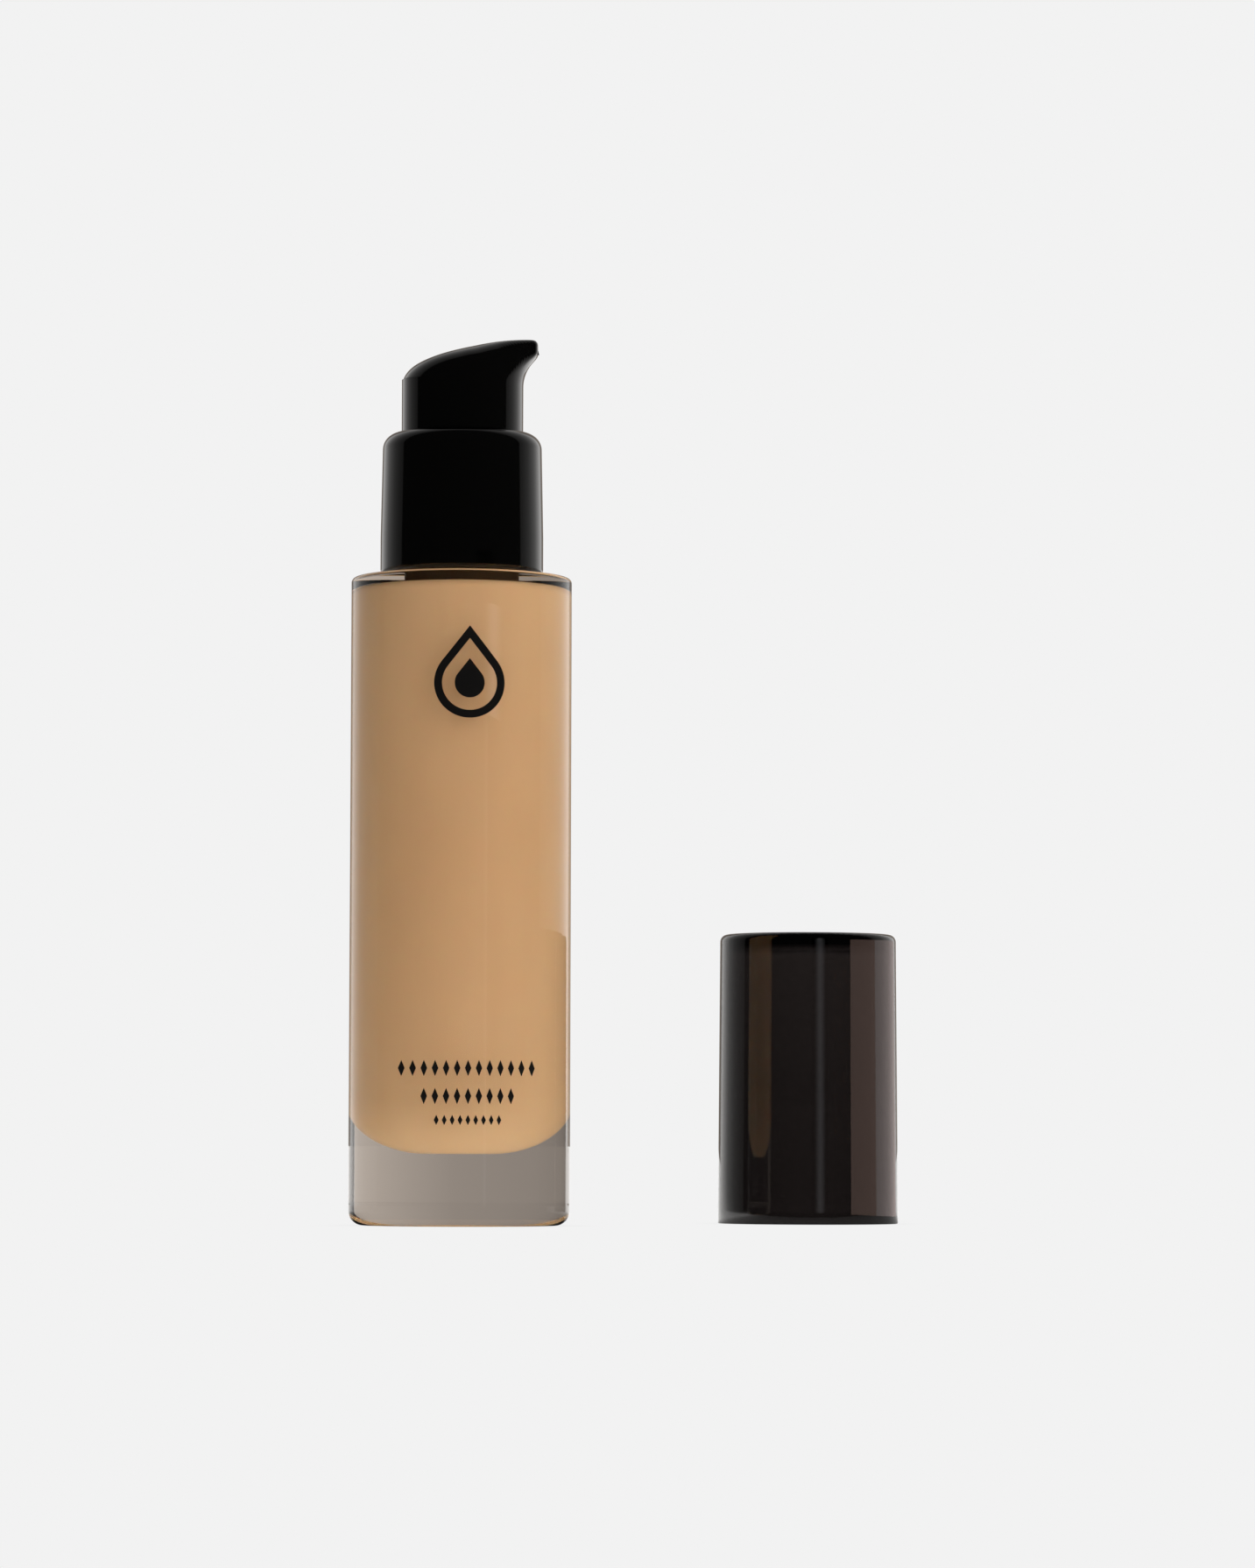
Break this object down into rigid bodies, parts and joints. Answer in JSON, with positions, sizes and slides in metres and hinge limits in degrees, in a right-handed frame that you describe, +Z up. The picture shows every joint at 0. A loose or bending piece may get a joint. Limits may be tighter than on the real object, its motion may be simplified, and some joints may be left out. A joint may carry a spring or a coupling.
{
  "type": "foundation bottle",
  "caption": "Cylindrical heavy-glass foundation bottle with a screw-on press pump, a beaked actuator and a separate smoky overcap standing beside it.",
  "frame": {"origin": "centre of the bottle's base, on the table that the bottle and the overcap stand on", "axes": "+Z up along the bottle's axis, +X the way the beak points and towards the standing overcap, +Y away from the printed front"},
  "size_m": [0.0833, 0.0604, 0.1326],
  "materials": {
    "clear_glass": "polished clear flint glass",
    "foundation": "creamy opaque liquid, wet against the glass",
    "black_ink": "fired screen print, semi-gloss",
    "gasket_foam": "matte closed foam",
    "natural_plastic": "milky natural polypropylene",
    "white_plastic": "white acetal, satin",
    "steel": "bright stainless steel",
    "satin_black_plastic": "fine satin black",
    "gloss_black_plastic": "high-gloss black",
    "smoky_plastic": "glossy smoky brown-black translucent"
  },
  "bodies": {
    "bottle": {"glass_bottle": "clear_glass", "foundation_liquid": "foundation", "printed_emblem": "black_ink", "printed_lines": "black_ink"},
    "pump": {"pump_housing": "natural_plastic", "housing_cap": "white_plastic", "bottle_gasket": "gasket_foam", "dip_tube": "natural_plastic", "valve_cage": "natural_plastic", "return_spring": "steel"},
    "closure": {"threaded_closure": "satin_black_plastic", "collar_shroud": "gloss_black_plastic"},
    "piston": {"stem": "white_plastic", "piston_rod": "natural_plastic", "piston_seal": "natural_plastic"},
    "actuator": {"actuator_head": "gloss_black_plastic", "actuator_core": "satin_black_plastic", "nozzle_insert": "satin_black_plastic"},
    "inlet_valve": {"inlet_ball": "steel"},
    "outlet_valve": {"outlet_ball": "steel"},
    "overcap": {"overcap": "smoky_plastic"}
  },
  "joints": [
    {"name": "pump_lift", "type": "slide", "parent": "bottle", "child": "pump", "axis": [0, 0, 1], "range_m": [0, 0.004]},
    {"name": "closure_turn", "type": "hinge", "parent": "pump", "child": "closure", "pos_m": [0, 0, 0.1], "axis": [0, 0, 1], "range_deg": [0, 450]},
    {"name": "pump_press", "type": "slide", "parent": "pump", "child": "piston", "axis": [0, 0, -1], "range_m": [0, 0.0046], "stiffness_N_per_m": 1300, "springref_m": -0.003, "deforming": ["return_spring"]},
    {"name": "actuator_swivel", "type": "hinge", "parent": "piston", "child": "actuator", "pos_m": [0, 0, 0.12], "axis": [0, 0, 1], "continuous": true},
    {"name": "inlet_valve_lift", "type": "slide", "parent": "pump", "child": "inlet_valve", "axis": [0, 0, 1], "range_m": [0, 0.0011]},
    {"name": "outlet_valve_lift", "type": "slide", "parent": "piston", "child": "outlet_valve", "axis": [0, 0, 1], "range_m": [0, 0.0009]},
    {"name": "overcap_lift", "type": "slide", "parent": "bottle", "child": "overcap", "axis": [0, 0, 1], "range_m": [0, 0.14]}
  ],
  "couplings": [
    {"joint": "pump_lift", "follows": "closure_turn", "m_per_rad": 0.00050532}
  ]
}
